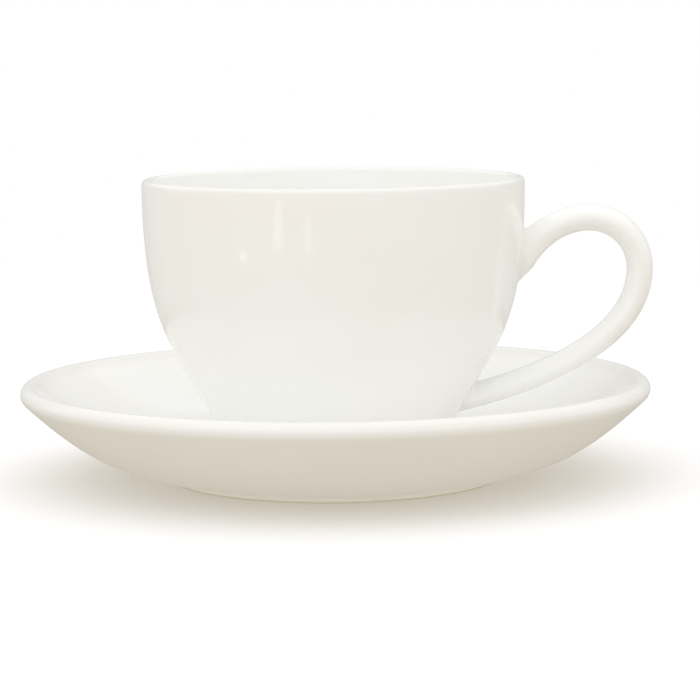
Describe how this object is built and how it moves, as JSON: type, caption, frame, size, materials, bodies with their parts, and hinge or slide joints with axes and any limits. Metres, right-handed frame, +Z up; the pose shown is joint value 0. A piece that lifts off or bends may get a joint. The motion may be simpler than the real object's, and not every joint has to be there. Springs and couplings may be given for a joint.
{
  "type": "teacup and saucer",
  "caption": "White bone-china teacup with a round flared bowl and an open loop handle, standing in the well of a deep curved saucer; the cup lifts off to drink from.",
  "frame": {"origin": "centre of the saucer's foot ring, on the surface that it stands on", "axes": "+Z up along the common axis of cup and saucer, +X towards the cup's handle, +Y away from the viewer"},
  "size_m": [0.1508, 0.1498, 0.0715],
  "materials": {
    "saucer_china": "clear gloss glaze",
    "cup_china": "clear gloss glaze"
  },
  "bodies": {
    "saucer": {"saucer": "saucer_china"},
    "cup": {"cup_bowl": "cup_china", "cup_handle": "cup_china"}
  },
  "joints": [
    {"name": "cup_lift", "type": "slide", "parent": "saucer", "child": "cup", "axis": [0, 0, 1], "range_m": [0, 0.06]}
  ]
}
